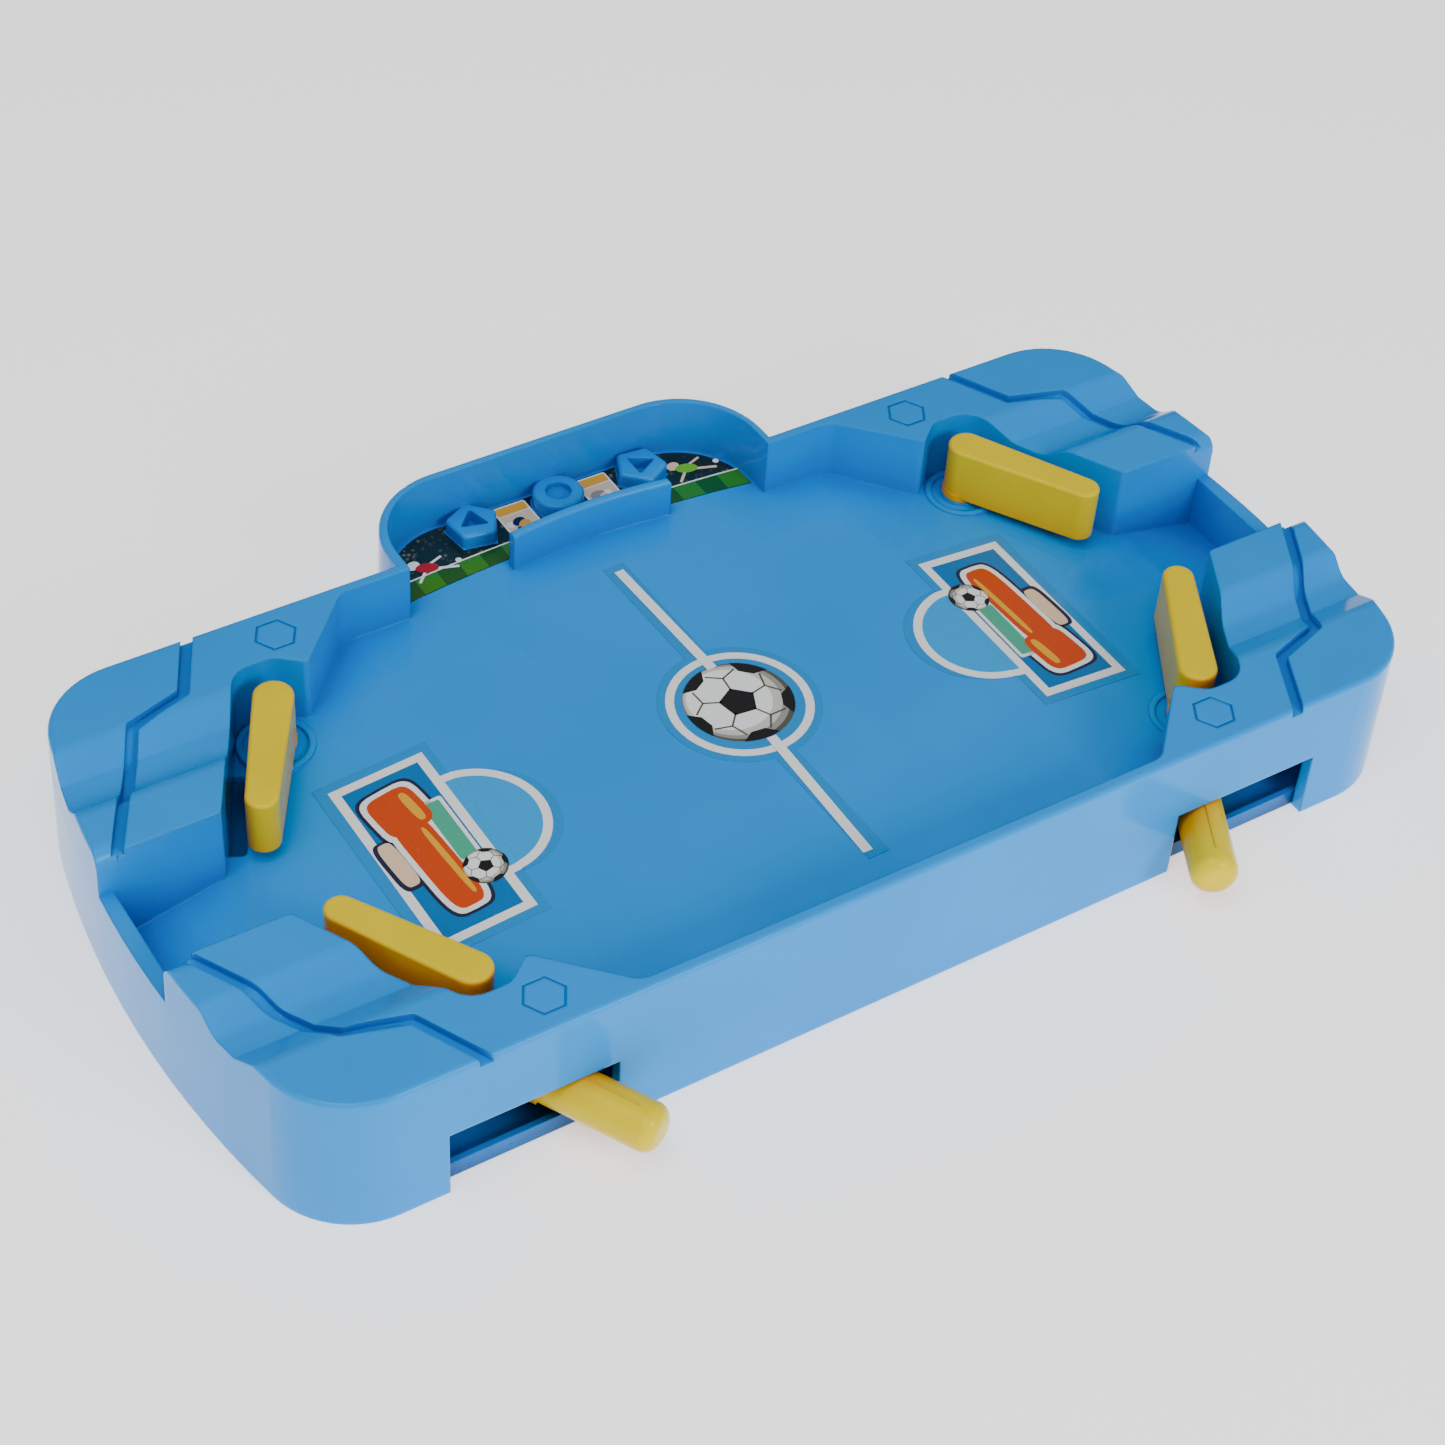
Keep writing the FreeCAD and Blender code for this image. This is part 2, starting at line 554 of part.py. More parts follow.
def spring(side):
    """Wound wire under the lever's hub on the +Y side, wound left-handed at the -X end."""
    rise = SPRING_PITCH * SPRING_TURNS
    coil = Part.makeHelix(SPRING_PITCH, rise, SPRING_R, 0, side < 0)
    coil.translate(V(0, 0, SPRING_BOTTOM_Z))
    section = Part.Wire(Part.makeCircle(WIRE_R, V(SPRING_R, 0, SPRING_BOTTOM_Z), V(0, 1, 0)))
    wound = Part.Wire(coil.Edges).makePipeShell([section], True, True)
    low_leg = Part.makeCylinder(WIRE_R, 7.0, V(SPRING_R, 0, SPRING_BOTTOM_Z), V(0, -side, 0))
    high_leg = Part.makeCylinder(WIRE_R, 9.0, V(SPRING_R, 0, SPRING_BOTTOM_Z + rise), V(0, side, 0))
    whole = wound.fuse([low_leg, high_leg])
    turn = LEVER_ANGLE if side > 0 else 180 - LEVER_ANGLE
    whole.rotate(V(0, 0, 0), V(0, 0, 1), turn)
    whole.translate(V(PIVOT_X * side, PIVOT_Y, 0))
    return whole


def half_turn(shape):
    """Copy turned half round the table's middle."""
    result = shape.copy()
    result.rotate(V(0, 0, 0), V(0, 0, 1), 180)
    return result


def base_screws():
    screws = []
    for x, y in base_screw_places():
        head = cylinder(x, y, BASE_SCREW_HEAD_R, 0.15, 1.0).cut(cross_recess(x, y, 0.15))
        shank = cylinder(x, y, SCREW_R, 0.9, BASE_SCREW_TIP_Z)
        screws.append(head.fuse(shank).removeSplitter())
    return Part.makeCompound(screws)


def floor_sheet(wire, tilt_side=0):
    """Thin label on the playfield; a label near a goal lies on the falling part."""
    sheet = prism(wire, FIELD_Z, FIELD_Z + STICKER_THICKNESS)
    if tilt_side == 0:
        return sheet
    fall = math.atan2(FIELD_Z - GOAL_MOUTH_Z, GOAL_MOUTH_X - FLAT_HALF_LENGTH)
    hinge = V(FLAT_HALF_LENGTH * tilt_side, 0, FIELD_Z)
    sheet.rotate(hinge, V(0, 1, 0), math.degrees(fall) * tilt_side)
    return sheet


def sticker_centre():
    disc = cylinder(3.8, 6.1, 21.4, FIELD_Z, FIELD_Z + STICKER_THICKNESS)
    band = rounded_wire([(-1.0, 67.5, 0), (5.4, 67.7, 0), (8.4, -55.6, 0), (2.2, -55.8, 0)])
    return disc.fuse(floor_sheet(band)).removeSplitter()


def sticker_goal_box(side):
    """Goal area label on the falling part of the field."""
    near, far, half = 73.6, 105.4, 32.2
    box = rounded_wire([(side * near, -half, 0), (side * far, -half, 0),
                        (side * far, half, 0), (side * near, half, 0)])
    return floor_sheet(box, side)


def sticker_goal_arc(side):
    """Half-round label on the flat field, in front of the goal area."""
    cut_x = side * 73.2
    low = V(cut_x, -18.4, 0)
    high = V(cut_x, 18.4, 0)
    arc = Part.Arc(low, V(side * 54.8, 0, 0), high).toShape()
    return floor_sheet(Part.Wire([arc, Part.LineSegment(high, low).toShape()]).copy())


def sticker_bay():
    """Label on the bay's floor, with a hollow front edge and openings around the three rings."""
    half, front_y, back_y, radius = 54.3, 80.2, BAY_END_Y - BAY_WALL - 0.8, 21.8
    side_y, back_x = back_y - radius, half - radius
    slant = radius * math.sqrt(0.5)
    front = Part.Arc(V(-half, front_y, 0), V(0, front_y + 3.9, 0), V(half, front_y, 0)).toShape()
    right = Part.LineSegment(V(half, front_y, 0), V(half, side_y, 0)).toShape()
    right_corner = Part.Arc(V(half, side_y, 0), V(back_x + slant, side_y + slant, 0),
                            V(back_x, back_y, 0)).toShape()
    back = Part.LineSegment(V(back_x, back_y, 0), V(-back_x, back_y, 0)).toShape()
    left_corner = Part.Arc(V(-back_x, back_y, 0), V(-back_x - slant, side_y + slant, 0),
                           V(-half, side_y, 0)).toShape()
    left = Part.LineSegment(V(-half, side_y, 0), V(-half, front_y, 0)).toShape()
    sheet = floor_sheet(Part.Wire([front, right, right_corner, back, left_corner, left]))
    grow = 0.4
    openings = [
        prism(regular_wire(PENTAGON_L_AT, PENTAGON_R + grow, 5, PENTAGON_L_TURN), 0, RIM_Z),
        prism(regular_wire(PENTAGON_R_AT, PENTAGON_R + grow, 5, PENTAGON_R_TURN), 0, RIM_Z),
        cylinder(*ROUND_RING_AT, ROUND_RING_R + grow, 0, RIM_Z),
    ]
    return sheet.cut(openings)


def write(name, shape):
    shape.exportStep(os.path.join("parts", name + ".step"))


os.makedirs("parts", exist_ok=True)
write("top_shell", top_shell())
write("base_plate", base_plate())
write("base_screws", base_screws())
moving = {"flipper": flipper(), "lever": lever(), "washer": washer(), "screw": pivot_screw()}
for piece_name, piece in moving.items():
    for corner_name in CORNERS:
        write(piece_name + "_" + corner_name, mirrored(piece, corner_name))
right_spring = spring(1)
left_spring = spring(-1)
write("spring_fr", right_spring)
write("spring_fl", left_spring)
write("spring_nl", half_turn(right_spring))
write("spring_nr", half_turn(left_spring))
write("sticker_centre", sticker_centre())
write("sticker_goal_l", sticker_goal_box(-1))
write("sticker_goal_r", sticker_goal_box(1))
write("sticker_arc_l", sticker_goal_arc(-1))
write("sticker_arc_r", sticker_goal_arc(1))
write("sticker_bay", sticker_bay())
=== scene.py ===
import math

import bpy
from mathutils import Matrix, Vector


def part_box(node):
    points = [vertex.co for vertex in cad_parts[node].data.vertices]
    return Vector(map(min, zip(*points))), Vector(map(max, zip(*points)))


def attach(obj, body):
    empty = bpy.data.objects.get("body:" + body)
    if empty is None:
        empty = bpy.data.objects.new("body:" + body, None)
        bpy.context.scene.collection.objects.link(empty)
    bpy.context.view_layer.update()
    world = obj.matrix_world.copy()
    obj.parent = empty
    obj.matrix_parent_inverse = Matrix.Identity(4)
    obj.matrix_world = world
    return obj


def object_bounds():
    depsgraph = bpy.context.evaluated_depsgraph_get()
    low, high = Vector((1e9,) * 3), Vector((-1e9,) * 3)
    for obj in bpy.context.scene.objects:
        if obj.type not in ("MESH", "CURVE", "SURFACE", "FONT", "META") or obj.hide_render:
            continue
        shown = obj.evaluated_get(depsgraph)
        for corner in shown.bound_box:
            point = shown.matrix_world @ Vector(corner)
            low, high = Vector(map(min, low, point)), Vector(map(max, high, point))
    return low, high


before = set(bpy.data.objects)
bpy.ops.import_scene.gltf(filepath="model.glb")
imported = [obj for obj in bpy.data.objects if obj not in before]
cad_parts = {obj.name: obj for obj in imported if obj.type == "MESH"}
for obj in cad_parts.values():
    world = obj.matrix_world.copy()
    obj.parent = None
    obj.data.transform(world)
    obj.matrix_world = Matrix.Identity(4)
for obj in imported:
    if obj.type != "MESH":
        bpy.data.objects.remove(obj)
start_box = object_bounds()

MM = 0.001


# ---------------------------------------------------------------- materials

class Nodes:
    """Short calls for building one material's node tree."""

    def __init__(self, name):
        self.material = bpy.data.materials.new(name)
        self.material.use_nodes = True
        self.tree = self.material.node_tree
        self.shader = self.tree.nodes["Principled BSDF"]
        coordinates = self.tree.nodes.new("ShaderNodeTexCoord")
        self.position = coordinates.outputs["Object"]

    def link(self, source, target):
        self.tree.links.new(source, target)

    def node(self, kind, **values):
        made = self.tree.nodes.new(kind)
        for key, value in values.items():
            if key in made.inputs:
                made.inputs[key].default_value = value
            else:
                setattr(made, key, value)
        return made

    def noise(self, size_mm, detail=3.0, roughness=0.55, stretch=(1, 1, 1)):
        """Noise whose features are about size_mm wide."""
        mapping = self.node("ShaderNodeMapping")
        mapping.inputs["Scale"].default_value = [1000.0 / size_mm * part for part in stretch]
        noise = self.node("ShaderNodeTexNoise", Scale=1.0, Detail=detail, Roughness=roughness)
        self.link(self.position, mapping.inputs["Vector"])
        self.link(mapping.outputs["Vector"], noise.inputs["Vector"])
        return noise.outputs["Fac"]

    def cells(self, size_mm):
        """Distance to scattered points about size_mm apart."""
        mapping = self.node("ShaderNodeMapping")
        mapping.inputs["Scale"].default_value = [1000.0 / size_mm] * 3
        cells = self.node("ShaderNodeTexVoronoi", Scale=1.0)
        self.link(self.position, mapping.inputs["Vector"])
        self.link(mapping.outputs["Vector"], cells.inputs["Vector"])
        return cells.outputs["Distance"]

    def coordinate_mm(self, axis):
        """Object coordinate along X, Y or Z in millimetres."""
        split = self.node("ShaderNodeSeparateXYZ")
        self.link(self.position, split.inputs["Vector"])
        return self.maths("MULTIPLY", split.outputs[axis], 1000.0)

    def maths(self, operation, *values):
        made = self.node("ShaderNodeMath", operation=operation)
        for socket, value in zip(made.inputs, values):
            if isinstance(value, bpy.types.NodeSocket):
                self.link(value, socket)
            else:
                socket.default_value = value
        return made.outputs["Value"]

    def ramp(self, source, low, high, from_value, to_value):
        """Value that goes from from_value to to_value while source goes from low to high."""
        mapped = self.node("ShaderNodeMapRange")
        mapped.inputs["From Min"].default_value = low
        mapped.inputs["From Max"].default_value = high
        mapped.inputs["To Min"].default_value = from_value
        mapped.inputs["To Max"].default_value = to_value
        self.link(source, mapped.inputs["Value"])
        return mapped.outputs["Result"]

    def mix(self, factor, first, second):
        """Colour between two colours or colour sockets."""
        mixed = self.node("ShaderNodeMix", data_type="RGBA")
        self.link(factor, mixed.inputs["Factor"])
        for socket, value in ((mixed.inputs[6], first), (mixed.inputs[7], second)):
            if isinstance(value, bpy.types.NodeSocket):
                self.link(value, socket)
            else:
                socket.default_value = value
        return mixed.outputs[2]

    def bump(self, height, strength, distance_mm, normal=None):
        bumped = self.node("ShaderNodeBump", Strength=strength, Distance=distance_mm * MM)
        self.link(height, bumped.inputs["Height"])
        if normal is not None:
            self.link(normal, bumped.inputs["Normal"])
        return bumped.outputs["Normal"]

    def openness(self, reach_mm, alone):
        """1 on open surfaces, falling towards 0 in gaps and corners, for painted shade; alone ignores other
        pieces.
        """
        shading = self.node("ShaderNodeAmbientOcclusion", samples=6, only_local=alone, Distance=reach_mm * MM)
        return shading.outputs["AO"]

    def rounded_edges(self, radius_mm):
        return self.node("ShaderNodeBevel", samples=6, Radius=radius_mm * MM).outputs["Normal"]

    def set(self, socket, value):
        if isinstance(value, bpy.types.NodeSocket):
            self.link(value, self.shader.inputs[socket])
        else:
            self.shader.inputs[socket].default_value = value


def gloss_plastic(name, colour, pale, shade_colour, sheen, roughness, edge_mm, cloud_mm, alone=True):
    """Injection-moulded gloss plastic: cloudy colour, faint flow marks, fine scratches and soft edges.

    Gaps and corners take the shade colour: painted shade, not a colour of the plastic.
    """
    nodes = Nodes(name)
    cloud = nodes.ramp(nodes.noise(cloud_mm), 0.35, 0.65, 0.0, 1.0)
    base = nodes.mix(cloud, [part * 0.92 for part in colour[:3]] + [1], colour)
    scuff = nodes.noise(1.6, 5.0, 0.7, (1, 0.06, 1))
    scratches = nodes.ramp(scuff, 0.66, 0.72, 0.0, 0.3)
    scratched = nodes.mix(scratches, base, pale)
    # painted shade: in gaps and corners the colour goes over to the shade colour
    unshaded = nodes.ramp(nodes.openness(16.0, alone), 0.25, 0.9, 0.0, 1.0)
    nodes.set("Base Color", nodes.mix(unshaded, shade_colour, scratched))
    nodes.set("Specular Tint", sheen)
    nodes.set("Roughness", nodes.ramp(nodes.noise(9.0, 5.0), 0.3, 0.7, roughness * 0.75, roughness * 1.35))
    nodes.set("IOR", 1.36)
    normal = nodes.rounded_edges(edge_mm)
    normal = nodes.bump(nodes.noise(14.0, 2.0), 0.10, 0.25, normal)
    nodes.set("Normal", nodes.bump(nodes.noise(0.7, 2.0), 0.05, 0.02, normal))
    return nodes


def steel(name, colour, roughness):
    """Plated steel with turning marks and slightly uneven shine."""
    nodes = Nodes(name)
    nodes.set("Metallic", 1.0)
    nodes.set("Base Color", nodes.mix(nodes.noise(1.2), colour, [part * 0.8 for part in colour[:3]] + [1]))
    nodes.set("Roughness", nodes.ramp(nodes.noise(0.8, 4.0), 0.3, 0.7, roughness * 0.7, roughness * 1.5))
    nodes.set("Normal", nodes.bump(nodes.noise(0.25, 3.0), 0.15, 0.02, nodes.rounded_edges(0.15)))
    return nodes.material


def print_ink(name, colour, shade=0.86, roughness=0.18):
    """Printed and laminated label: even ink with a fine grain, small dust marks and slight waves."""
    nodes = Nodes(name)
    darker = [part * shade for part in colour] + [1]
    grain = nodes.ramp(nodes.noise(0.5, 4.0, 0.7), 0.3, 0.7, 0.0, 1.0)
    base = nodes.mix(grain, darker, [*colour, 1])
    wear = nodes.ramp(nodes.noise(5.0, 6.0, 0.75), 0.66, 0.76, 0.0, 0.2)
    nodes.set("Base Color", nodes.mix(wear, base, (0.7, 0.75, 0.8, 1)))
    nodes.set("Roughness", nodes.ramp(nodes.noise(6.0, 4.0), 0.3, 0.7, roughness * 0.7, roughness * 1.4))
    nodes.set("Normal", nodes.bump(nodes.noise(9.0, 2.0), 0.06, 0.1))
    return nodes.material


def crowd_print():
    """Dark stands with pale dots, fading to night towards the back."""
    nodes = Nodes("crowd_ink")
    dots = nodes.ramp(nodes.cells(1.6), 0.1, 0.45, 1.0, 0.0)
    patches = nodes.ramp(nodes.noise(6.0, 4.0), 0.48, 0.66, 0.0, 0.6)
    lit = nodes.maths("MULTIPLY", dots, patches)
    backdrop = nodes.mix(nodes.noise(11.0, 3.0), (0.002, 0.006, 0.005, 1), (0.02, 0.032, 0.014, 1))
    nodes.set("Base Color", nodes.mix(lit, backdrop, (0.3, 0.34, 0.26, 1)))
    nodes.set("Roughness", nodes.ramp(nodes.noise(6.0, 4.0), 0.3, 0.7, 0.12, 0.25))
    nodes.set("Normal", nodes.bump(nodes.noise(9.0, 2.0), 0.06, 0.1))
    return nodes.material


BLUE_SHEEN = (0.25, 0.75, 1.0, 1)
# each plastic's shade colour below is painted shade for its gaps and corners
BLUE = gloss_plastic("blue_plastic", colour=(0.0, 0.30, 0.84, 1), pale=(0.04, 0.42, 0.9, 1),
                     shade_colour=(0.0, 0.13, 0.55, 1), sheen=BLUE_SHEEN, roughness=0.15, edge_mm=0.9, cloud_mm=60.0)
polish = BLUE.ramp(BLUE.coordinate_mm("Z"), 23.9, 25.5, 0.5, 1.0)    # the playfield is shinier than the rest
plain_roughness = BLUE.shader.inputs["Roughness"].links[0].from_socket
BLUE.set("Roughness", BLUE.maths("MULTIPLY", plain_roughness, polish))
# painted shade: the cover goes nearly black in gaps and where other pieces are near
COVER = gloss_plastic("blue_cover", colour=(0.0, 0.22, 0.76, 1), pale=(0.04, 0.36, 0.85, 1),
                      shade_colour=(0.0, 0.004, 0.04, 1), sheen=BLUE_SHEEN, roughness=0.3, edge_mm=0.4, cloud_mm=45.0,
                      alone=False)
# painted shade: the yellow goes orange in gaps, corners and next to other pieces
YELLOW = gloss_plastic("yellow_plastic", colour=(0.84, 0.63, 0.0, 1), pale=(0.88, 0.7, 0.05, 1),
                       shade_colour=(0.80, 0.24, 0.0, 1), sheen=(1.0, 0.9, 0.25, 1), roughness=0.2, edge_mm=0.6,
                       cloud_mm=20.0, alone=False)
WASHER_STEEL = steel("washer_steel", (0.62, 0.63, 0.65, 1), 0.3)
SCREW_STEEL = steel("screw_steel", (0.5, 0.51, 0.53, 1), 0.32)
SPRING_STEEL = steel("spring_steel", (0.6, 0.6, 0.62, 1), 0.22)
CROWD = crowd_print()
INK_COLOURS = {
    "cyan": (0.0, 0.27, 0.70), "blue": (0.0, 0.17, 0.50), "bright": (0.0, 0.37, 0.85),
    "white": (0.93, 0.95, 0.96), "black": (0.006, 0.006, 0.008), "shadow": (0.09, 0.09, 0.07),
    "grey": (0.3, 0.3, 0.27), "silver": (0.6, 0.6, 0.56), "orange": (0.66, 0.06, 0.0),
    "amber": (0.85, 0.42, 0.02), "cream": (0.85, 0.62, 0.42), "teal": (0.05, 0.42, 0.27),
    "grass": (0.03, 0.22, 0.004), "dark_grass": (0.008, 0.10, 0.004), "red": (0.45, 0.01, 0.008),
    "lime": (0.16, 0.5, 0.01), "violet": (0.25, 0.12, 0.4), "brown": (0.12, 0.05, 0.03),
    "navy": (0.01, 0.015, 0.06),
}
INKS = {ink: print_ink(ink + "_ink", colour) for ink, colour in INK_COLOURS.items()}

NODE_MATERIALS = {
    "top_shell": BLUE.material, "base_plate": COVER.material, "base_screws": SCREW_STEEL,
    "flipper": YELLOW.material, "lever": YELLOW.material,
    "washer": WASHER_STEEL, "screw": SCREW_STEEL, "spring": SPRING_STEEL,
    "sticker_centre": INKS["cyan"], "sticker_goal": INKS["cyan"], "sticker_arc": INKS["cyan"],
    "sticker_bay": CROWD,
}
for node_name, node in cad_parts.items():
    for prefix, material in NODE_MATERIALS.items():
        if node_name.startswith(prefix):
            node.data.materials.clear()
            node.data.materials.append(material)


# ---------------------------------------------------------------- printed artwork

FLAT_HALF_LENGTH = 72.0                                  # the playfield falls beyond this distance
GOAL_MOUTH_X = 138.0                                     # and has fallen to GOAL_MOUTH_Z here
FIELD_Z = 23.7
GOAL_MOUTH_Z = 17.9
FIELD_FALL = (FIELD_Z - GOAL_MOUTH_Z) / (GOAL_MOUTH_X - FLAT_HALF_LENGTH)
LABEL_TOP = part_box("sticker_centre")[1].z / MM
GOAL_LABEL_X = -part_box("sticker_goal_l")[1].x / MM       # the goal labels start here, on the falling part
ARC_LABEL_X = -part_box("sticker_arc_l")[0].x / MM         # the flat labels in front of them end here
LAYER = 0.03                                             # height of one layer of print


def circle(x, y, radius, start=0.0, end=360.0, steps=48):
    """Points on an arc; a full circle leaves out the doubled last point."""
    count = steps if end - start >= 360 else steps + 1
    angles = [math.radians(start + (end - start) * i / steps) for i in range(count)]
    return [(x + radius * math.cos(angle), y + radius * math.sin(angle)) for angle in angles]


def polar(x, y, radius, angle):
    """Point at that distance and angle from x, y."""
    return x + radius * math.cos(math.radians(angle)), y + radius * math.sin(math.radians(angle))


def ellipse(x, y, across, along, turn=0.0, power=1.0):
    """Turned ellipse; a power under 1 makes it squarer."""
    cosine, sine = math.cos(math.radians(turn)), math.sin(math.radians(turn))
    points = []
    for u, v in circle(0, 0, 1, steps=32):
        u = math.copysign(abs(u) ** power, u) * across
        v = math.copysign(abs(v) ** power, v) * along
        points.append((x + u * cosine - v * sine, y + u * sine + v * cosine))
    return points


def rectangle(x0, y0, x1, y1, radius=0.0):
    """Corners from x0, y0 to x1, y1, rounded when there is a radius."""
    if radius == 0:
        return [(x0, y0), (x1, y0), (x1, y1), (x0, y1)]
    corners = [(x1 - radius, y0 + radius, -90), (x1 - radius, y1 - radius, 0),
               (x0 + radius, y1 - radius, 90), (x0 + radius, y0 + radius, 180)]
    return [point for x, y, start in corners for point in circle(x, y, radius, start, start + 90, 6)]


def stroke(x0, y0, x1, y1, width):
    """Four corners of a straight line of that width."""
    length = math.hypot(x1 - x0, y1 - y0)
    u, v = (y1 - y0) / length * width / 2, (x0 - x1) / length * width / 2
    return [(x0 + u, y0 + v), (x1 + u, y1 + v), (x1 - u, y1 - v), (x0 - u, y0 - v)]


class Artwork:
    """Flat printed shapes of one label, gathered into one thin piece per ink.

    turned draws everything turned half round about the table's middle.
    """

    def __init__(self, name, turned=False):
        self.name = name
        self.side = -1 if turned else 1
        self.meshes = {}

    def point(self, x, y, layer):
        x, y = x * self.side, y * self.side
        on_slope = abs(x) > (GOAL_LABEL_X + ARC_LABEL_X) / 2
        fall = (abs(x) - FLAT_HALF_LENGTH) * FIELD_FALL if on_slope else 0.0
        return Vector((x, y, LABEL_TOP - fall + layer * LAYER)) * MM

    def fill(self, ink, layer, outline):
        """Thin slab over a closed outline."""
        points, faces = self.meshes.setdefault(ink, ([], []))
        first, count = len(points), len(outline)
        points.extend(self.point(x, y, layer) for x, y in outline)
        points.extend(self.point(x, y, layer - 0.9) for x, y in outline)
        faces.append(tuple(range(first, first + count)))
        faces.append(tuple(range(first + 2 * count - 1, first + count - 1, -1)))
        for i in range(count):
            after = (i + 1) % count
            faces.append((first + i, first + count + i, first + count + after, first + after))

    def band(self, ink, layer, outer, inner, closed=True):
        """Strip between two outlines with the same number of points."""
        count = len(outer)
        for i in range(count if closed else count - 1):
            after = (i + 1) % count
            self.fill(ink, layer, [outer[i], outer[after], inner[after], inner[i]])

    def build(self):
        for ink, (points, faces) in self.meshes.items():
            mesh = bpy.data.meshes.new(self.name + "_" + ink)
            mesh.from_pydata([tuple(point) for point in points], [], faces)
            mesh.materials.append(INKS[ink])
            piece = bpy.data.objects.new(mesh.name, mesh)
            bpy.context.scene.collection.objects.link(piece)
            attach(piece, "table")


# ink, size and sideways shift of each disc, in ball radii: the ball is lit from the back left
BALL_SHADES = (("shadow", 1.0, 0.0), ("grey", 0.95, 0.035), ("silver", 0.88, 0.075), ("white", 0.77, 0.12))


def football(art, x, y, radius, turn, layer):
    """White ball with one whole five-sided patch, seams and dark patches at its edge."""
    for order, (ink, size, shift) in enumerate(BALL_SHADES):
        art.fill(ink, layer + order, circle(x - shift * radius, y + shift * radius, size * radius))
    top = layer + len(BALL_SHADES)
    art.fill("black", top, circle(x, y, radius * 0.36, turn, turn + 360, 5))
    for i in range(5):
        angle = turn + 72 * i
        near, far = polar(x, y, radius * 0.3, angle), polar(x, y, radius * 0.64, angle)
        art.fill("shadow", top, stroke(*near, *far, radius * 0.035))
        for bend in (-20, 20):
            art.fill("shadow", top, stroke(*far, *polar(x, y, radius * 0.84, angle + bend), radius * 0.035))
        rim = circle(x, y, radius, angle + 16, angle + 56, 6)
        art.fill("black", top, rim + circle(x, y, radius * 0.79, angle + 46, angle + 26, 1))


def centre_label():
    art = Artwork("art_centre")
    x, y = 3.8, 6.1
    art.band("white", 1, circle(x, y, 19.3), circle(x, y, 17.0))
    football(art, x, y + 0.6, 14.6, 84, 1)
    art.fill("white", 6, stroke(2.5, 65.2, 4.4, 20.6, 2.8))
    art.fill("white", 6, stroke(4.2, -8.2, 3.4, -53.6, 2.8))
    return art


def goal_label(name, turned):
    """Goal area of the -X side: white frame, half circle, and an emblem without letters."""
    art = Artwork(name, turned)
    near, far, half_width, line = -76.0, -102.2, 29.6, 2.5
    middle_y, outer_radius, inner_radius = 1.0, 18.8, 16.4
    outer = rectangle(far, -half_width, near, half_width)
    inner = rectangle(far + line, -half_width + line, near - line, half_width - line)
    art.fill("blue", 1, inner)
    art.band("white", 1, outer, inner)
    bends = []                                    # on each arc, the angles where it passes the labels' ends
    for radius in (outer_radius, inner_radius):
        slope, flat = [math.degrees(math.acos((-x - near) / radius)) for x in (GOAL_LABEL_X, ARC_LABEL_X)]
        bends.append((-90, -slope, -flat, flat, slope, 90))
    outer_bends, inner_bends = bends
    for i in range(len(outer_bends) - 1):
        arc_out = circle(near, middle_y, outer_radius, outer_bends[i], outer_bends[i + 1], 24)
        arc_in = circle(near, middle_y, inner_radius, inner_bends[i], inner_bends[i + 1], 24)
        art.band("white", 2, arc_out, arc_in, closed=False)
    for first, second in ((inner_bends[0], inner_bends[1]), (inner_bends[1], inner_bends[2])):
        corners = [polar(near, middle_y, inner_radius, angle) for angle in (first, second, -second, -first)]
        art.fill("bright", 1, corners)
    art.fill("bright", 1, circle(near, middle_y, inner_radius, inner_bends[2], inner_bends[3]))
    emblem(art)
    return art


def emblem(art):
    """Plain emblem: an orange ribbon with a broad end, a cream bar, a teal plate and a small football."""
    for ink, layer, margin in (("navy", 2, 2.4), ("white", 3, 1.5), ("orange", 5, 0.0)):
        art.fill(ink, layer, ellipse(-90.0, 14.6, 6.4 + margin, 7.4 + margin, 6, 0.45))
        art.fill(ink, layer + 0.4, ellipse(-89.6, -4.4, 4.6 + margin, 17.0 + margin, 3, 0.45))
    art.fill("amber", 6.4, ellipse(-86.6, 14.6, 1.2, 5.4, 6, 0.6))
    art.fill("amber", 6.8, ellipse(-87.2, -5.6, 0.8, 12.6, 3, 0.6))
    art.fill("navy", 2, ellipse(-98.4, -0.8, 3.2, 9.0, 3, 0.5))
    art.fill("cream", 3, ellipse(-98.2, -0.6, 2.2, 8.0, 3, 0.5))
    art.fill("white", 3, rectangle(-85.6, -8.4, -79.0, 14.2, 0.8))
    art.fill("teal", 4, rectangle(-84.6, -7.4, -80.0, 13.2, 0.6))
    football(art, -80.6, -12.2, 5.6, 100, 4)


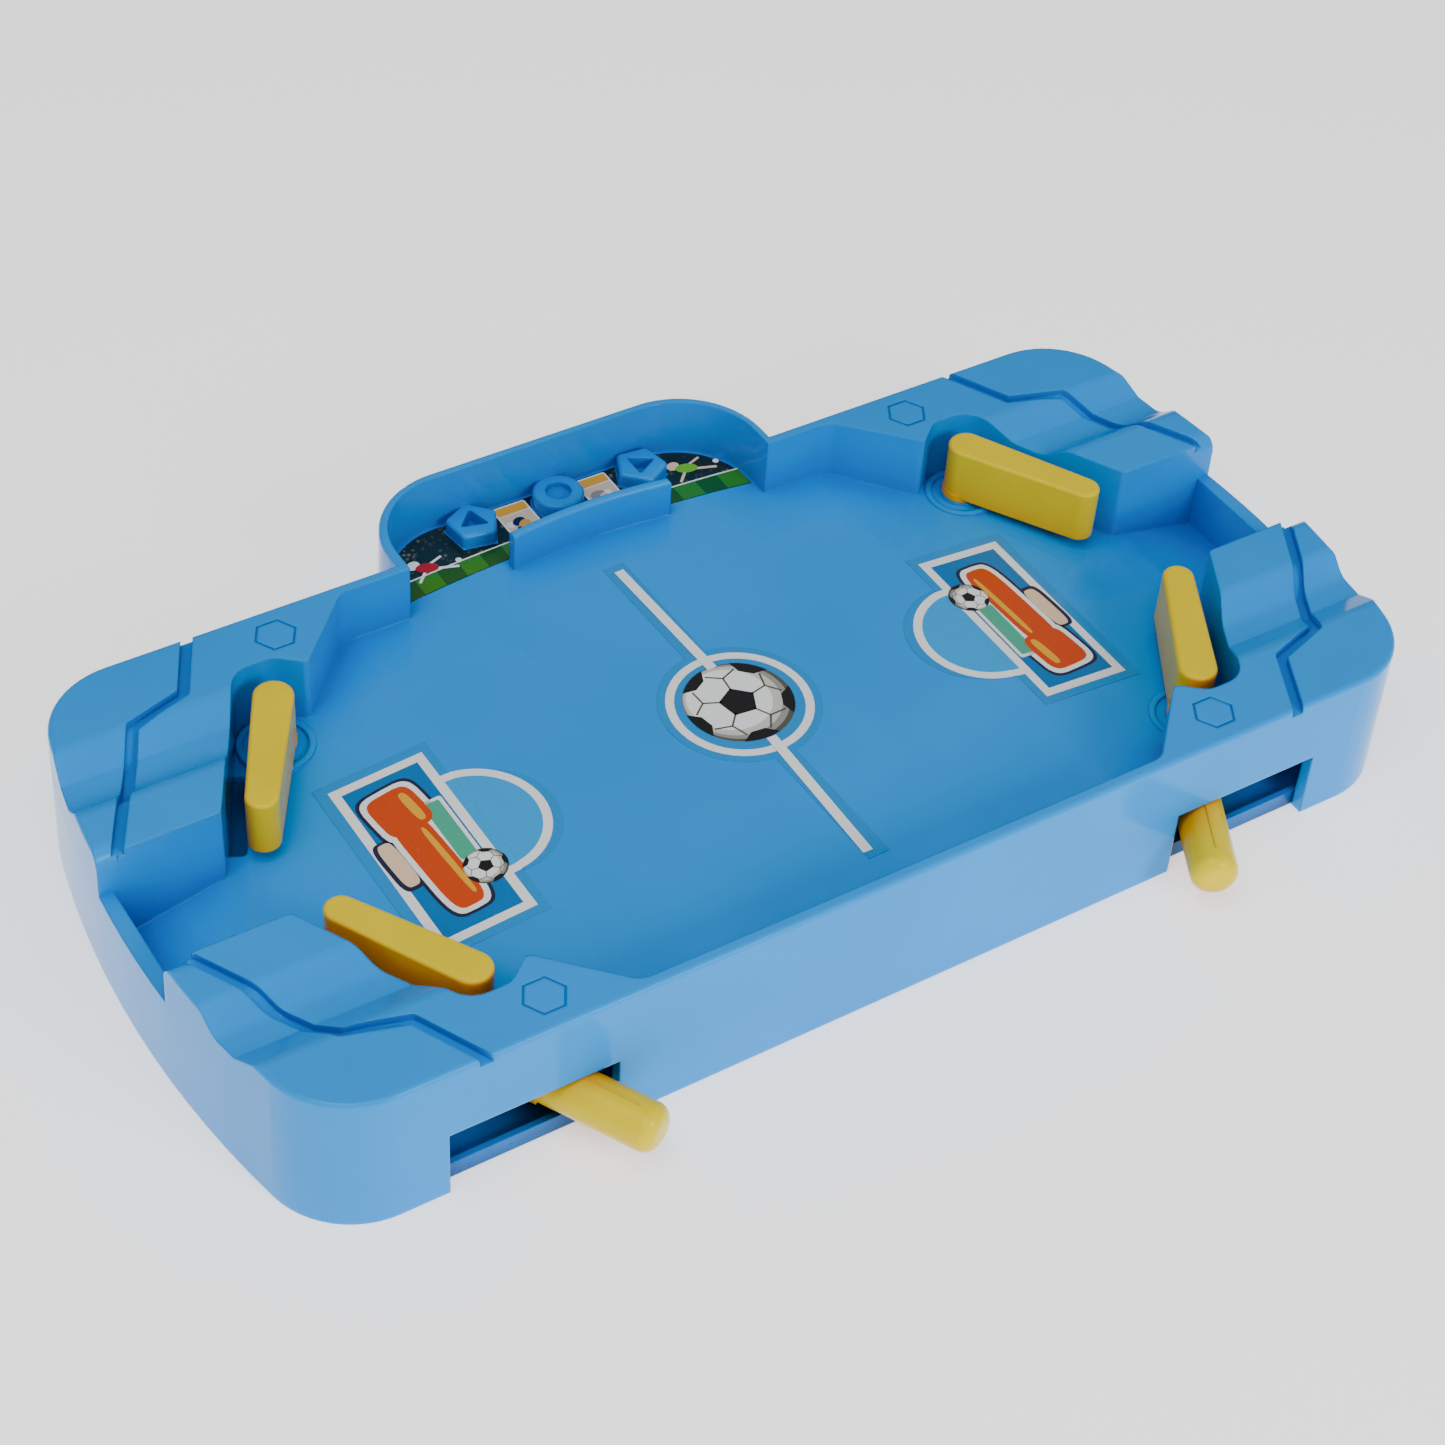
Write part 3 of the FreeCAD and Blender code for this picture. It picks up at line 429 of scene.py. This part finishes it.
def bay_label():
    """Grass with mown stripes in front of dark stands, two player cards and two small motifs."""
    art = Artwork("art_bay")
    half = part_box("sticker_bay")[1].x / MM - 0.2
    front = [(x, 80.4 + 3.8 * (1 - (x / half) ** 2)) for x in (half * (i / 24 - 1) for i in range(49))]
    back = [(x, 87.0 + 2.6 * (1 - (x / half) ** 2)) for x, y in front]
    for i in range(len(front) - 1):
        ink = "grass" if (i // 3) % 2 else "dark_grass"
        art.fill(ink, 1, [front[i], front[i + 1], back[i + 1], back[i]])
        if abs(front[i][0]) > 17 or abs(front[i + 1][0]) > 17:
            art.fill("white", 2, [back[i], back[i + 1], (back[i + 1][0], back[i + 1][1] + 0.45),
                                  (back[i][0], back[i][1] + 0.45)])
    card(art, -15.6, -5.3, (("white", 0.1, 0.62, 0.2), ("navy", 0.42, 0.66, 0.26),
                            ("amber", 0.55, 0.42, 0.3), ("brown", 0.8, 0.25, 0.2),
                            ("navy", 0.3, 0.3, 0.16)))
    card(art, 10.3, 20.2, (("grey", 0.3, 0.62, 0.3), ("cream", 0.5, 0.5, 0.2),
                           ("violet", 0.62, 0.34, 0.24), ("brown", 0.35, 0.32, 0.22),
                           ("white", 0.75, 0.6, 0.16)))
    figure(art, -42.0, 90.5, "white", "red")
    figure(art, 41.5, 94.0, "cream", "lime")
    return art


def card(art, x0, x1, blobs):
    """Small picture card with a header and abstract blobs: ink, place across, place along, size of each."""
    y0, y1 = 88.4, 103.4
    art.fill("white", 3, rectangle(x0, y0, x1, y1, 0.8))
    art.fill("amber", 4, rectangle(x0 + 0.5, y1 - 3.8, x1 - 0.5, y1 - 0.5, 0.5))
    art.fill("cream", 4, rectangle(x0 + 0.6, y0 + 0.5, x1 - 0.6, y1 - 4.2, 0.4))
    for order, (ink, across, along, size) in enumerate(blobs):
        x = x0 + 1.6 + across * (x1 - x0 - 3.2)
        y = y0 + 1.4 + along * 9.0
        art.fill(ink, 5 + order, ellipse(x, y, size * 8.0, size * 6.0, 30 * order))


def figure(art, x, y, light, shirt):
    """Abstract motif of a few blobs and streaks, like a ball game seen from far away."""
    art.fill(light, 3, ellipse(x - 3.0, y + 2.4, 2.0, 1.6, 20))
    art.fill(shirt, 4, ellipse(x, y, 3.2, 1.9, -15))
    art.fill(light, 3, stroke(x + 1.5, y - 1.0, x + 8.0, y - 3.2, 0.9))
    art.fill(light, 3, stroke(x - 1.0, y - 1.0, x - 4.5, y - 4.6, 0.8))
    art.fill(light, 3, stroke(x + 1.0, y + 1.0, x + 5.5, y + 2.6, 0.7))
    art.fill("white", 3, circle(x + 9.0, y - 1.0, 0.9, steps=12))


for label in (centre_label(), goal_label("art_goal_l", False), goal_label("art_goal_r", True), bay_label()):
    label.build()


# ---------------------------------------------------------------- stage

floor_z = start_box[0].z - 0.2 * MM               # just under the table, so that the two don't flicker
bpy.ops.mesh.primitive_plane_add(size=6, location=(0, 0, floor_z))
floor = bpy.context.object
floor.name = "floor"
floor_nodes = Nodes("floor")
floor_nodes.set("Base Color", (0.93, 0.93, 0.93, 1))
floor_nodes.set("Roughness", 0.6)
floor_nodes.set("Emission Color", (1, 1, 1, 1))
floor_nodes.set("Emission Strength", 0.9)
floor.data.materials.append(floor_nodes.material)

world = bpy.data.worlds.new("studio")
bpy.context.scene.world = world
world.use_nodes = True
world.node_tree.nodes["Background"].inputs["Color"].default_value = (1.0, 1.0, 1.0, 1)
world.node_tree.nodes["Background"].inputs["Strength"].default_value = 0.32


def area_light(name, direction, distance, size, power):
    """Square lamp in that direction from the table's middle, facing it."""
    data = bpy.data.lights.new(name, "AREA")
    data.size = size
    data.energy = power
    lamp = bpy.data.objects.new(name, data)
    bpy.context.scene.collection.objects.link(lamp)
    towards = Vector(direction).normalized()
    lamp.location = towards * distance
    lamp.rotation_mode = "QUATERNION"
    lamp.rotation_quaternion = towards.to_track_quat("Z", "Y")


area_light("key", (0.22, -0.85, 0.50), 1.3, 0.45, 8)
area_light("top", (-0.35, -0.25, 1.0), 1.2, 0.8, 7.8)
area_light("left", (-0.9, 0.1, 0.5), 1.2, 0.5, 0.7)


# ---------------------------------------------------------------- camera

AZIMUTH = math.radians(-35.25)
ELEVATION = math.radians(43.76)
ROLL = math.radians(4.686)
DISTANCE = 789.5 * MM
AIM_RIGHT = -3.10 * MM
AIM_UP = 17.22 * MM

back = Vector((math.sin(AZIMUTH) * math.cos(ELEVATION), -math.cos(AZIMUTH) * math.cos(ELEVATION),
               math.sin(ELEVATION)))
level = Vector((0, 0, 1)).cross(back).normalized()
upright = back.cross(level)
right = level * math.cos(ROLL) + upright * math.sin(ROLL)
up = upright * math.cos(ROLL) - level * math.sin(ROLL)
camera_data = bpy.data.cameras.new("camera")
camera_data.sensor_width = 36
camera_data.lens = 75.4
camera_data.clip_start = 0.05
camera = bpy.data.objects.new("camera", camera_data)
bpy.context.scene.collection.objects.link(camera)
place = back * DISTANCE + right * AIM_RIGHT + up * AIM_UP
turn = Matrix((right, up, back)).transposed().to_4x4()
camera.matrix_world = Matrix.Translation(place) @ turn
bpy.context.scene.camera = camera
